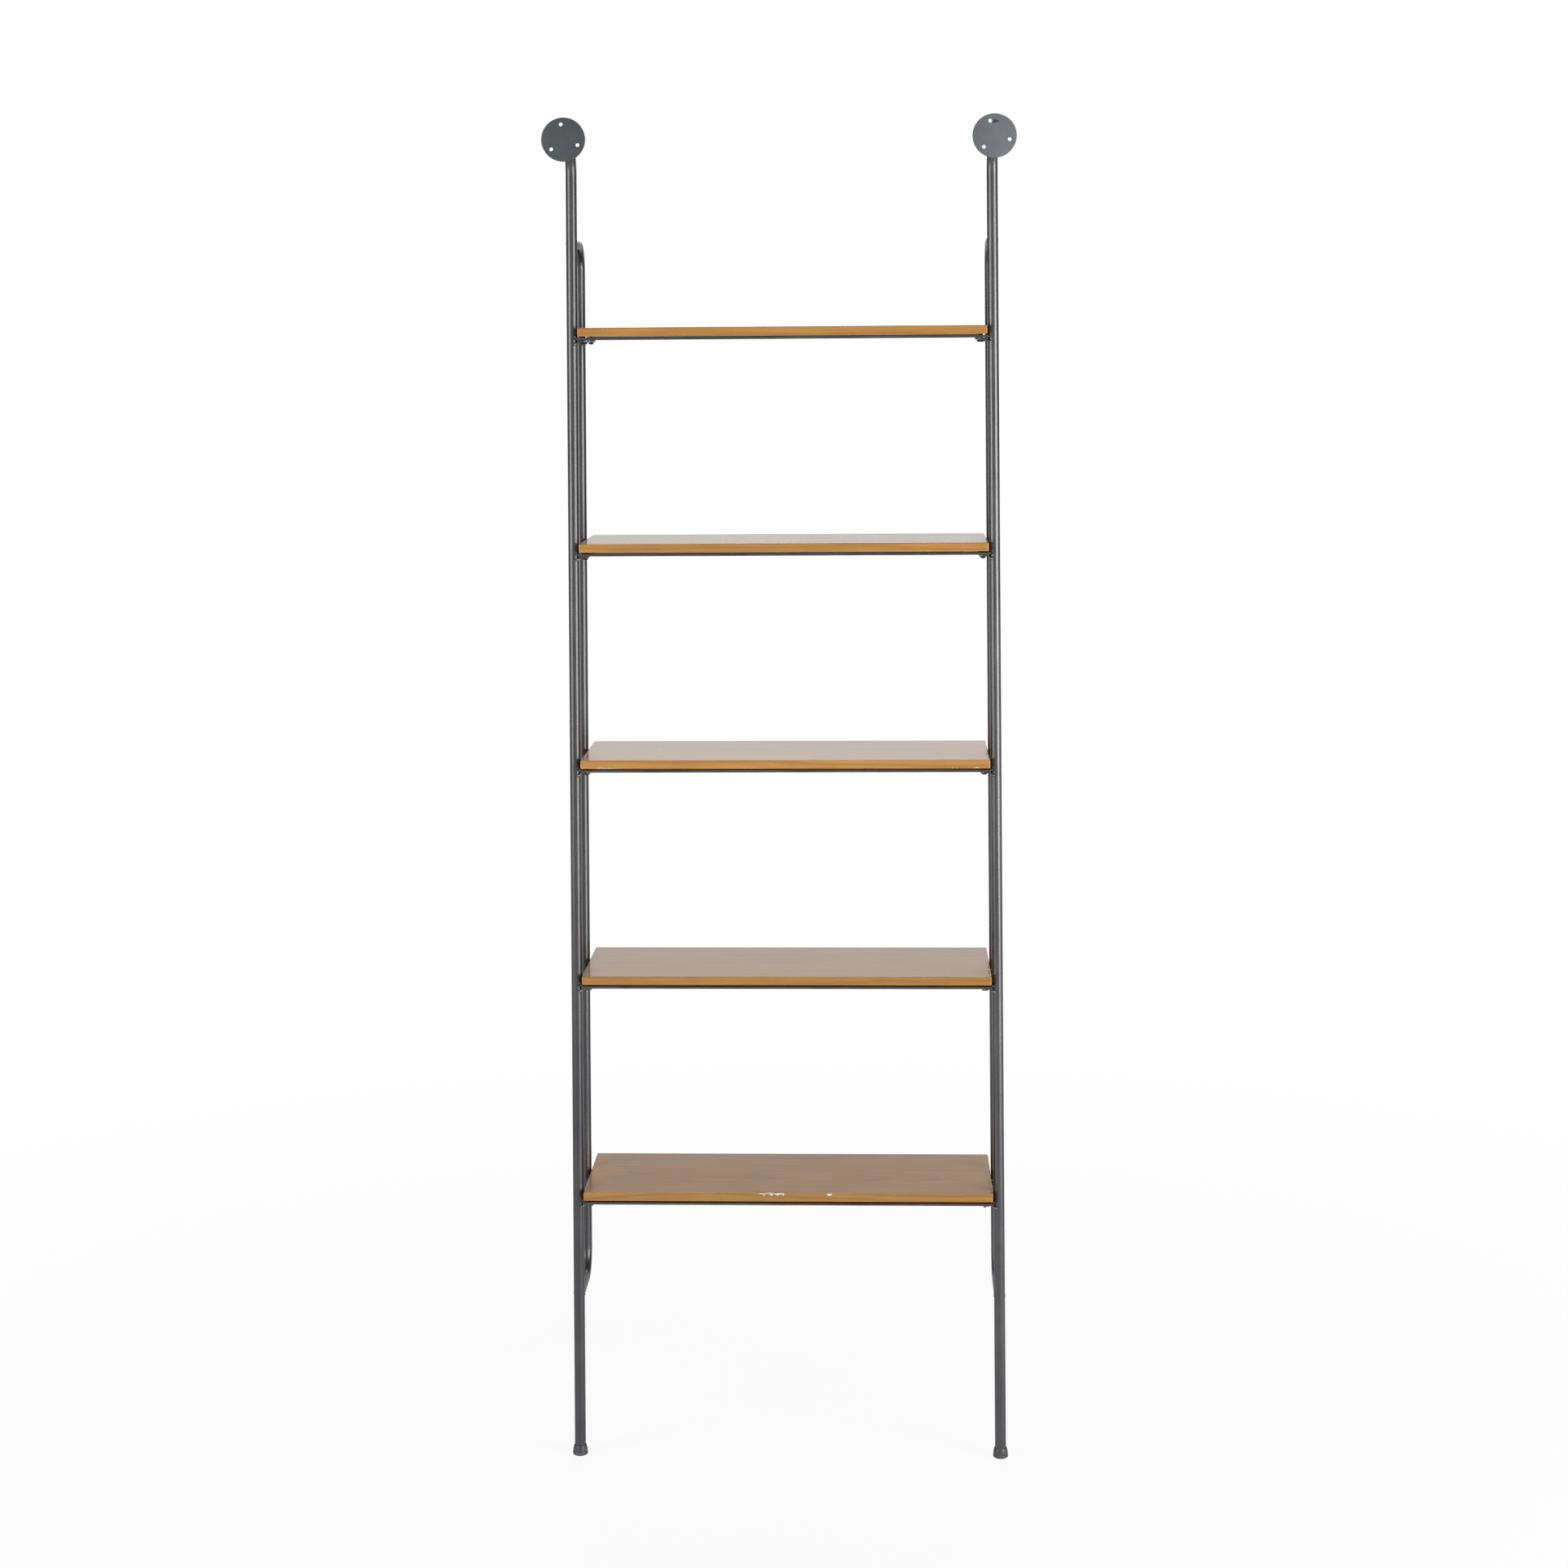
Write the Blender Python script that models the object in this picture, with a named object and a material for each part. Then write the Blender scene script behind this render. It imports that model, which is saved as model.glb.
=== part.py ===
"""Ladder shelf: a welded tube frame that is screwed to a wall, with five wooden boards.

Metres, +Z up. The wall is at +Y and the room at -Y, and left and right are as seen
from the room. The origin is on the floor, at the middle of the shelf's footprint.
"""

import math

import bmesh
import bpy

# Frame tubes
TUBE_RADIUS = 0.008
TUBE_WALL = 0.0015
UPRIGHT_SPACING = 0.615
FRONT_REACH = 0.106
TOP_LEG_HEIGHT = 1.7755
BOTTOM_LEG_HEIGHT = 0.2355
FRONT_BEND_RADIUS = 0.0375
WALL_BEND_RADIUS = 0.048
TUBE_SIDES = 20
BEND_STEPS = 8

# Wall flanges
FLANGE_HEIGHT = 1.9205
FLANGE_REACH = 0.100
FLANGE_RADIUS = 0.0315
FLANGE_THICKNESS = 0.003
FLANGE_EDGE = 0.0004
FLANGE_SIDES = 40
FLANGE_HOLE_RADIUS = 0.0027
FLANGE_HOLE_CIRCLE = 0.022
FLANGE_HOLE_SIDES = 16
FLANGE_HOLE_TURN = {"left": math.radians(16.0), "right": math.radians(8.6)}

# Boards
BOARD_LENGTH = 0.597
BOARD_THICKNESS = 0.0127
BOARD_BACK = 0.019
BOARD_FRONT = 0.181
BOARD_ARRIS = 0.0012
LOWEST_BOARD_TOP = 0.390
BOARD_PITCH = 0.3155
BOARD_COUNT = 5

# Sub-frame under each board
CROSSBAR_WIDTH = 0.025
FRONT_CROSSBAR_THICKNESS = 0.005
FRONT_CROSSBAR_INSET = 0.0115
REAR_CROSSBAR_THICKNESS = 0.0034
REAR_CROSSBAR_BACK = 0.018
SIDE_BAR_WIDTH = 0.0127
SIDE_BAR_THICKNESS = 0.003

# Screws
SCREW_HEAD_RADIUS = 0.0040
SCREW_HEAD_HEIGHT = 0.0030
SCREW_CROWN_RADIUS = 0.0024
SCREW_CROWN_HEIGHT = 0.00165
SCREW_SHANK_RADIUS = 0.0017
SCREW_LENGTH = 0.0160
SCREW_TIP = 0.0025
SCREW_HOLE_RADIUS = 0.0021
SCREW_HOLE_SPARE = 0.0006
SCREW_REAR_Y = -0.002
SCREW_SIDES = 12

# Foot caps
CAP_HEIGHT = 0.0148
CAP_RADIUS = 0.011
CAP_SHOULDER_RADIUS = 0.0101
CAP_SHOULDER_HEIGHT = 0.0112
CAP_MOUTH_RADIUS = 0.009
CAP_WALL_HEIGHT = 0.0045
CAP_SOLE_RADIUS = 0.0082
CAP_EDGE = ((0.0098, 0.0006), (0.0108, 0.002))
CAP_FLOOR = 0.003
CAP_SIDES = 24

GAP = 0.0003
CUTTER_MARGIN = 0.002
SADDLE_MARGIN = 0.02
SHARP_ANGLE = math.radians(35.0)
SIDES = {"left": -1.0, "right": 1.0}

# The uprights' axes lie behind the middle of the footprint, half-way between wall face and board front.
AXIS_Y = (BOARD_FRONT - FLANGE_REACH) / 2
# The front crossbar touches the board. The rear one is thinner, and leaves a slot under the board.
CROSSBAR_BOTTOM = -BOARD_THICKNESS - GAP - FRONT_CROSSBAR_THICKNESS
SIDE_BAR_TOP = CROSSBAR_BOTTOM - GAP
SCREW_SEAT = SIDE_BAR_TOP - SIDE_BAR_THICKNESS - GAP
INNER_WIDTH = UPRIGHT_SPACING / 2 - TUBE_RADIUS - GAP
FRONT_CROSSBAR_END = UPRIGHT_SPACING / 2 - FRONT_CROSSBAR_INSET
SIDE_BAR_X = INNER_WIDTH - SIDE_BAR_WIDTH / 2
SCREW_X = INNER_WIDTH - SIDE_BAR_WIDTH + SCREW_HEAD_RADIUS
SIDE_BAR_BACK = TUBE_RADIUS
SIDE_BAR_FRONT = -FRONT_REACH - TUBE_RADIUS
FRONT_CROSSBAR_Y = SIDE_BAR_FRONT + CROSSBAR_WIDTH / 2
REAR_CROSSBAR_Y = REAR_CROSSBAR_BACK - CROSSBAR_WIDTH / 2


def clear_scene():
    for obj in list(bpy.data.objects):
        bpy.data.objects.remove(obj, do_unlink=True)


def principled(name, colour, roughness, metallic):
    material = bpy.data.materials.new(name)
    material.use_nodes = True
    shader = material.node_tree.nodes["Principled BSDF"]
    shader.inputs["Base Color"].default_value = (*colour, 1.0)
    shader.inputs["Roughness"].default_value = roughness
    shader.inputs["Metallic"].default_value = metallic
    return material


def steel():
    return principled("Raw steel tube", (0.17, 0.175, 0.18), 0.38, 0.9)


def flange_steel():
    return principled("Wall flange steel", (0.16, 0.19, 0.21), 0.45, 0.9)


def bar_steel():
    return principled("Raw steel bar", (0.11, 0.115, 0.11), 0.5, 0.9)


def wood():
    return principled("Lacquered wood", (0.50, 0.24, 0.075), 0.4, 0.0)


def rubber():
    return principled("Dark grey rubber", (0.035, 0.035, 0.037), 0.75, 0.0)


def black_screw():
    return principled("Black screw", (0.01, 0.01, 0.01), 0.4, 0.3)


def empty(name, parent, location):
    obj = bpy.data.objects.new(name, None)
    bpy.context.scene.collection.objects.link(obj)
    obj.parent = parent
    obj.location = location
    return obj


def mesh_object(name, build, material, parent, location=(0.0, 0.0, 0.0)):
    """An object from the bmesh that build fills, with smooth faces between its sharp edges."""
    mesh = bpy.data.meshes.new(name)
    bm = bmesh.new()
    build(bm)
    bmesh.ops.recalc_face_normals(bm, faces=bm.faces)
    bm.to_mesh(mesh)
    bm.free()
    mesh.shade_smooth()
    mesh.set_sharp_from_angle(angle=SHARP_ANGLE)
    if material:
        mesh.materials.append(material)
    obj = bpy.data.objects.new(name, mesh)
    bpy.context.scene.collection.objects.link(obj)
    obj.parent = parent
    obj.location = location
    return obj


def cut(obj, cutter):
    modifier = obj.modifiers.new("Cut", "BOOLEAN")
    modifier.operation = "DIFFERENCE"
    modifier.object = cutter
    cutter.hide_render = True
    cutter.display_type = "WIRE"


def turned(bm, profile, sides):
    """A solid of revolution about Z. The profile runs from a point on the axis to another one."""
    rings = []
    for radius, height in profile:
        if radius == 0.0:
            rings.append([bm.verts.new((0.0, 0.0, height))])
            continue
        turns = (2 * math.pi * i / sides for i in range(sides))
        rings.append([bm.verts.new((radius * math.cos(a), radius * math.sin(a), height)) for a in turns])
    for lower, upper in zip(rings, rings[1:]):
        for i in range(sides):
            corners = [lower[i % len(lower)], lower[(i + 1) % len(lower)]]
            corners += [upper[(i + 1) % len(upper)], upper[i % len(upper)]]
            bm.faces.new(dict.fromkeys(corners))


def cylinder(bm, radius, sides, centre, bottom, top):
    """A closed cylinder along Z, standing at centre (x, y)."""
    made = bmesh.ops.create_cone(
        bm, cap_ends=True, segments=sides, radius1=radius, radius2=radius, depth=top - bottom
    )
    bmesh.ops.translate(bm, verts=made["verts"], vec=(*centre, (bottom + top) / 2))


def block(bm, low, high, bevel=0.0):
    """A box from low to high, with its edges chamfered where bevel isn't zero."""
    made = bmesh.ops.create_cube(bm, size=1.0)
    bmesh.ops.scale(bm, verts=made["verts"], vec=[b - a for a, b in zip(low, high)])
    bmesh.ops.translate(bm, verts=made["verts"], vec=[(a + b) / 2 for a, b in zip(low, high)])
    if bevel:
        bmesh.ops.bevel(bm, geom=bm.edges[:], offset=bevel, segments=2, profile=0.5, affect="EDGES")


def bend(centre, radius, start, end):
    """(y, z, tangent angle) along an arc. Angles run from +Y towards +Z, and either way round."""
    turn = math.copysign(math.pi / 2, end - start)
    for step in range(BEND_STEPS + 1):
        angle = start + (end - start) * step / BEND_STEPS
        yield (
            centre[0] + radius * math.cos(angle),
            centre[1] + radius * math.sin(angle),
            angle + turn,
        )


def swept_tube(bm, route):
    """A hollow tube, open at both ends, along a route of (y, z, tangent angle) in the YZ plane."""
    walls = []
    for radius in (TUBE_RADIUS, TUBE_RADIUS - TUBE_WALL):
        rings = []
        for y, z, tangent in route:
            ring = []
            for i in range(TUBE_SIDES):
                angle = 2 * math.pi * i / TUBE_SIDES
                across = radius * math.cos(angle)
                outward = radius * math.sin(angle)
                place = (across, y - outward * math.sin(tangent), z + outward * math.cos(tangent))
                ring.append(bm.verts.new(place))
            rings.append(ring)
        walls.append(rings)
    outer, inner = walls
    pairs = list(zip(outer, outer[1:])) + list(zip(inner, inner[1:]))
    pairs += [(outer[0], inner[0]), (outer[-1], inner[-1])]
    for first, second in pairs:
        for i in range(TUBE_SIDES):
            j = (i + 1) % TUBE_SIDES
            bm.faces.new((first[i], first[j], second[j], second[i]))


def upright_route():
    """Up from the foot cap's floor, round the top bend and back to the flange."""
    top = FLANGE_HEIGHT - WALL_BEND_RADIUS
    route = [(0.0, CAP_FLOOR + GAP, math.pi / 2)]
    route += bend((WALL_BEND_RADIUS, top), WALL_BEND_RADIUS, math.pi, math.pi / 2)
    route.append((FLANGE_REACH - FLANGE_THICKNESS - GAP, FLANGE_HEIGHT, 0.0))
    return route


def front_tube_route():
    """From inside the upright forward, down in front of it and back. The cut leaves it at the upright."""
    radius = FRONT_BEND_RADIUS
    y = radius - FRONT_REACH
    route = [(0.0, TOP_LEG_HEIGHT, math.pi)]
    route += bend((y, TOP_LEG_HEIGHT - radius), radius, math.pi / 2, math.pi)
    route += bend((y, BOTTOM_LEG_HEIGHT + radius), radius, math.pi, 3 * math.pi / 2)
    route.append((0.0, BOTTOM_LEG_HEIGHT, 2 * math.pi))
    return route


def add_side_frame(side, root, material):
    """One upright and the front tube welded to it, in the plane of that side."""
    frame = empty(side + "_frame", root, (SIDES[side] * UPRIGHT_SPACING / 2, AXIS_Y, 0.0))
    mesh_object(side + "_upright", lambda bm: swept_tube(bm, upright_route()), material, frame)
    front = mesh_object(
        side + "_front_tube", lambda bm: swept_tube(bm, front_tube_route()), material, frame
    )
    # The saddle is wider than the upright by the gap, measured to its flats.
    saddle = (TUBE_RADIUS + GAP) / math.cos(math.pi / TUBE_SIDES)
    ends = (BOTTOM_LEG_HEIGHT - SADDLE_MARGIN, TOP_LEG_HEIGHT + SADDLE_MARGIN)
    cutter = mesh_object(
        side + "_saddle_cutter",
        lambda bm: cylinder(bm, saddle, TUBE_SIDES, (0.0, 0.0), *ends),
        None,
        frame,
    )
    cut(front, cutter)
    return frame


def flange_profile():
    rim = FLANGE_RADIUS - FLANGE_EDGE
    return [
        (0.0, 0.0),
        (rim, 0.0),
        (FLANGE_RADIUS, FLANGE_EDGE),
        (FLANGE_RADIUS, FLANGE_THICKNESS - FLANGE_EDGE),
        (rim, FLANGE_THICKNESS),
        (0.0, FLANGE_THICKNESS),
    ]


def flange_holes(bm, turn):
    """Three hole cutters on their circle, the first one turned from the top towards +X."""
    for i in range(3):
        angle = turn + i * 2 * math.pi / 3
        centre = (FLANGE_HOLE_CIRCLE * math.sin(angle), FLANGE_HOLE_CIRCLE * math.cos(angle))
        ends = (-CUTTER_MARGIN, FLANGE_THICKNESS + CUTTER_MARGIN)
        cylinder(bm, FLANGE_HOLE_RADIUS, FLANGE_HOLE_SIDES, centre, *ends)


def add_wall_flange(side, frame, material):
    place = (0.0, FLANGE_REACH, FLANGE_HEIGHT)
    disc = mesh_object(
        side + "_wall_flange",
        lambda bm: turned(bm, flange_profile(), FLANGE_SIDES),
        material,
        frame,
        place,
    )
    cutter = mesh_object(
        side + "_flange_hole_cutter",
        lambda bm: flange_holes(bm, FLANGE_HOLE_TURN[side]),
        None,
        frame,
        place,
    )
    # Local Z points from the wall into the room, and local Y is up.
    for obj in (disc, cutter):
        obj.rotation_euler = (math.pi / 2, 0.0, 0.0)
    cut(disc, cutter)


def cap_profile():
    bore = TUBE_RADIUS + GAP
    return [
        (0.0, 0.0),
        (CAP_SOLE_RADIUS, 0.0),
        *CAP_EDGE,
        (CAP_RADIUS, CAP_WALL_HEIGHT),
        (CAP_SHOULDER_RADIUS, CAP_SHOULDER_HEIGHT),
        (CAP_MOUTH_RADIUS, CAP_HEIGHT),
        (bore, CAP_HEIGHT),
        (bore, CAP_FLOOR),
        (0.0, CAP_FLOOR),
    ]


def add_foot_cap(side, frame, material):
    mesh_object(side + "_foot_cap", lambda bm: turned(bm, cap_profile(), CAP_SIDES), material, frame)


def board_top(number):
    """Height of a board's upper face. Board 1 is the top one."""
    return LOWEST_BOARD_TOP + (BOARD_COUNT - number) * BOARD_PITCH


def screw_places():
    """Name and (x, y) of the four screws under a board."""
    for side, sign in SIDES.items():
        yield side + "_rear", (sign * SCREW_X, SCREW_REAR_Y)
        yield side + "_front", (sign * SCREW_X, FRONT_CROSSBAR_Y)


def screw_profile():
    """Pan head below the seat, plain shank and a short point above it."""
    tip = SCREW_LENGTH - SCREW_TIP
    return [
        (0.0, -SCREW_HEAD_HEIGHT),
        (SCREW_CROWN_RADIUS, -SCREW_HEAD_HEIGHT),
        (SCREW_HEAD_RADIUS, SCREW_CROWN_HEIGHT - SCREW_HEAD_HEIGHT),
        (SCREW_HEAD_RADIUS, 0.0),
        (SCREW_SHANK_RADIUS, 0.0),
        (SCREW_SHANK_RADIUS, tip),
        (0.0, SCREW_LENGTH),
    ]


def screw_holes(bm):
    ends = (SCREW_SEAT - CUTTER_MARGIN, SCREW_SEAT + SCREW_LENGTH + SCREW_HOLE_SPARE)
    for _, centre in screw_places():
        cylinder(bm, SCREW_HOLE_RADIUS, SCREW_SIDES, centre, *ends)


def crossbar(bm, end, y, thickness):
    low = (-end, y - CROSSBAR_WIDTH / 2, CROSSBAR_BOTTOM)
    high = (end, y + CROSSBAR_WIDTH / 2, CROSSBAR_BOTTOM + thickness)
    block(bm, low, high)


def rear_crossbar(bm):
    crossbar(bm, INNER_WIDTH, REAR_CROSSBAR_Y, REAR_CROSSBAR_THICKNESS)


def front_crossbar(bm):
    crossbar(bm, FRONT_CROSSBAR_END, FRONT_CROSSBAR_Y, FRONT_CROSSBAR_THICKNESS)


def side_bar(bm, sign):
    x = sign * SIDE_BAR_X
    low = (x - SIDE_BAR_WIDTH / 2, SIDE_BAR_FRONT, SIDE_BAR_TOP - SIDE_BAR_THICKNESS)
    high = (x + SIDE_BAR_WIDTH / 2, SIDE_BAR_BACK, SIDE_BAR_TOP)
    block(bm, low, high)


def board(bm):
    low = (-BOARD_LENGTH / 2, -BOARD_FRONT, -BOARD_THICKNESS)
    high = (BOARD_LENGTH / 2, BOARD_BACK, 0.0)
    block(bm, low, high, BOARD_ARRIS)


def add_shelf(number, root, materials):
    """One board, the two crossbars and two side bars that carry it, and its four screws."""
    tag = "_" + str(number)
    steel_bar = materials["bar"]
    shelf = empty("shelf" + tag, root, (0.0, AXIS_Y, board_top(number)))
    drilled = [
        mesh_object("board" + tag, board, materials["wood"], shelf),
        mesh_object("rear_crossbar" + tag, rear_crossbar, steel_bar, shelf),
        mesh_object("front_crossbar" + tag, front_crossbar, steel_bar, shelf),
    ]
    for side, sign in SIDES.items():
        bar = mesh_object(side + "_side_bar" + tag, lambda bm: side_bar(bm, sign), steel_bar, shelf)
        drilled.append(bar)
    cutter = mesh_object("screw_hole_cutter" + tag, screw_holes, None, shelf)
    for obj in drilled:
        cut(obj, cutter)
    for name, (x, y) in screw_places():
        mesh_object(
            name + "_screw" + tag,
            lambda bm: turned(bm, screw_profile(), SCREW_SIDES),
            materials["screw"],
            shelf,
            (x, y, SCREW_SEAT),
        )


def main():
    clear_scene()
    root = empty("ladder_shelf", None, (0.0, 0.0, 0.0))
    tube_steel = steel()
    disc_steel = flange_steel()
    cap_rubber = rubber()
    for side in SIDES:
        frame = add_side_frame(side, root, tube_steel)
        add_wall_flange(side, frame, disc_steel)
        add_foot_cap(side, frame, cap_rubber)
    materials = {"wood": wood(), "bar": bar_steel(), "screw": black_screw()}
    for number in range(1, BOARD_COUNT + 1):
        add_shelf(number, root, materials)


main()
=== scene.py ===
"""The looks of the ladder shelf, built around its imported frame.

Metres, +Z up, the wall at +Y and the room at -Y. Left and right are as seen from the room.
The camera stands behind the shelf, on the wall's side.
"""

import math

import bmesh
import bpy
from mathutils import Matrix, Vector, noise


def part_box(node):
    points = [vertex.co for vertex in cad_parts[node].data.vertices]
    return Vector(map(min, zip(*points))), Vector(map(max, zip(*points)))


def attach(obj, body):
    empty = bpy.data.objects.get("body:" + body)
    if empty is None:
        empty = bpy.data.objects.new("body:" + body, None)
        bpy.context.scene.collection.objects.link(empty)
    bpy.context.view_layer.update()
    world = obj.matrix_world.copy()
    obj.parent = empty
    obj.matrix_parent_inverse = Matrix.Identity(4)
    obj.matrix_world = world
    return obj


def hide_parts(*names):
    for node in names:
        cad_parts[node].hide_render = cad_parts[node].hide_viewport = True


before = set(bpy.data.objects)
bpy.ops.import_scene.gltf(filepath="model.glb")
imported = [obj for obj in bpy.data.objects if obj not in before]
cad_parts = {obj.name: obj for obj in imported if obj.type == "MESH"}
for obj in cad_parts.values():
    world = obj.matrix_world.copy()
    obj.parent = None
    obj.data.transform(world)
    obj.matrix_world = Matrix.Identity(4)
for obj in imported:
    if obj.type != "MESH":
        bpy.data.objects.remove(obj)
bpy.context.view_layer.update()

SIDES = {"left": -1.0, "right": 1.0}
BOARDS = range(1, 6)
MM = 0.001

# Frame tubes
TUBE_WALL = 1.5 * MM
WALL_BEND_RADIUS = 48 * MM
FRONT_BEND_RADIUS = 37.5 * MM
TUBE_SIDES = 48
BEND_STEPS = 24

# Camera
CAMERA_PLACE = (-0.148, 4.127, 1.6295)
CAMERA_YAW = math.radians(-2.04)
CAMERA_PITCH = math.radians(0.32)
CAMERA_ROLL = math.radians(-0.40)
CAMERA_LENS = 64.3
CAMERA_SHIFT_Y = -0.272


# ---------------------------------------------------------------- node helpers


class Nodes:
    """Short calls for building one material's or the world's node tree."""

    def __init__(self, tree):
        self.tree = tree

    def add(self, kind, inputs=None, **settings):
        node = self.tree.nodes.new(kind)
        for name, value in settings.items():
            setattr(node, name, value)
        for name, value in (inputs or {}).items():
            self.feed(node.inputs[name], value)
        return node

    def feed(self, socket, value):
        if isinstance(value, bpy.types.NodeSocket):
            self.tree.links.new(value, socket)
        else:
            socket.default_value = value

    def math(self, operation, first, second=0.0):
        return self.add("ShaderNodeMath", {0: first, 1: second}, operation=operation).outputs[0]

    def noise(self, vector, scale, detail=4.0, roughness=0.5, distortion=0.0):
        values = {"Vector": vector, "Scale": scale, "Detail": detail}
        values |= {"Roughness": roughness, "Distortion": distortion}
        return self.add("ShaderNodeTexNoise", values).outputs[0]

    def vector(self, operation, first, second=(0.0, 0.0, 0.0)):
        return self.add("ShaderNodeVectorMath", {0: first, 1: second}, operation=operation)

    def stretched(self, vector, scale):
        return self.add("ShaderNodeMapping", {"Vector": vector, "Scale": scale}).outputs[0]

    def ramp(self, value, *stops):
        """A colour ramp. Each stop is (position, number or colour)."""
        node = self.add("ShaderNodeValToRGB", {0: value})
        elements = node.color_ramp.elements
        while len(elements) < len(stops):
            elements.new(0.5)
        for element, (position, colour) in zip(elements, stops):
            element.position = position
            if isinstance(colour, (int, float)):
                colour = (colour, colour, colour)
            element.color = (*colour, 1.0)
        return node.outputs[0]

    def mix(self, factor, first, second):
        node = self.add("ShaderNodeMix", data_type="RGBA")
        self.feed(node.inputs[0], factor)
        for index, value in ((6, first), (7, second)):
            if isinstance(value, tuple) and len(value) == 3:
                value = (*value, 1.0)
            self.feed(node.inputs[index], value)
        return node.outputs[2]

    def bump(self, height, strength, distance):
        values = {"Height": height, "Strength": strength, "Distance": distance}
        return self.add("ShaderNodeBump", values).outputs[0]


def new_material(name, **uniform):
    """A material with its Principled shader, and the numbers that are the same all over it."""
    material = bpy.data.materials.new(name)
    material.use_nodes = True
    shader = material.node_tree.nodes["Principled BSDF"]
    for key, value in uniform.items():
        shader.inputs[key.replace("_", " ")].default_value = value
    nodes = Nodes(material.node_tree)
    place = nodes.add("ShaderNodeTexCoord").outputs["Object"]
    return material, nodes, shader, place


# ---------------------------------------------------------------- materials

# The burn mark is beside the top hole of the left flange.
LEFT_FLANGE_STAIN = (-0.3085, 0.1405, 1.9412)
STAIN_REACH = 12 * MM


def steel_material(name, dark, light, roughness, streak=(1.0, 1.0, 0.03), stain=None):
    """Clear-coated raw steel: faint clouds of mill scale, long drawing marks and a few fine specks.

    stain is the place of a brown burn mark.
    """
    material, nodes, shader, place = new_material(
        name, Metallic=1.0, Coat_Weight=0.12, Coat_Roughness=0.3, Coat_IOR=1.45
    )
    cloud = nodes.noise(place, 14.0, 3.0, 0.55)
    blotch = nodes.noise(place, 70.0, 3.0, 0.5, 0.4)
    marks = nodes.noise(nodes.stretched(place, streak), 420.0, 2.0, 0.45)
    tone = nodes.math("ADD", nodes.math("MULTIPLY", cloud, 0.55), nodes.math("MULTIPLY", blotch, 0.15))
    tone = nodes.math("ADD", tone, nodes.math("MULTIPLY", marks, 0.30))
    colour = nodes.ramp(tone, (0.34, dark), (0.66, light))
    speck = nodes.ramp(nodes.noise(place, 900.0, 2.0, 0.5), (0.70, 0.0), (0.76, 1.0))
    colour = nodes.mix(nodes.math("MULTIPLY", speck, 0.12), colour, tuple(0.4 * c for c in dark))
    if stain:
        offset = nodes.stretched(nodes.vector("SUBTRACT", place, stain).outputs[0], (1.0, 1.0, 1.8))
        far = nodes.vector("LENGTH", offset).outputs["Value"]
        far = nodes.math("ADD", nodes.math("DIVIDE", far, STAIN_REACH), nodes.noise(place, 330.0, 2.0, 0.5))
        burnt = nodes.ramp(far, (0.75, 0.75), (1.25, 0.0))
        colour = nodes.mix(burnt, colour, (0.060, 0.052, 0.045))
    nodes.feed(shader.inputs["Base Color"], colour)
    rough = nodes.math("ADD", nodes.math("MULTIPLY", cloud, 0.16), roughness - 0.08)
    nodes.feed(shader.inputs["Roughness"], rough)
    nodes.feed(shader.inputs["Normal"], nodes.bump(marks, 0.004, 0.0003))
    return material


def weld_material():
    """Bare bead metal: paler than the bars, with straw and blue heat tints."""
    material, nodes, shader, place = new_material("Weld bead", Metallic=1.0)
    tint = nodes.noise(place, 260.0, 3.0, 0.5)
    colour = nodes.ramp(
        tint, (0.34, (0.11, 0.10, 0.10)), (0.50, (0.30, 0.29, 0.27)), (0.66, (0.17, 0.19, 0.22))
    )
    nodes.feed(shader.inputs["Base Color"], colour)
    rough = nodes.noise(place, 700.0, 3.0, 0.6)
    nodes.feed(shader.inputs["Roughness"], nodes.math("ADD", nodes.math("MULTIPLY", rough, 0.3), 0.2))
    nodes.feed(shader.inputs["Normal"], nodes.bump(rough, 0.3, 0.0003))
    return material


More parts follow.
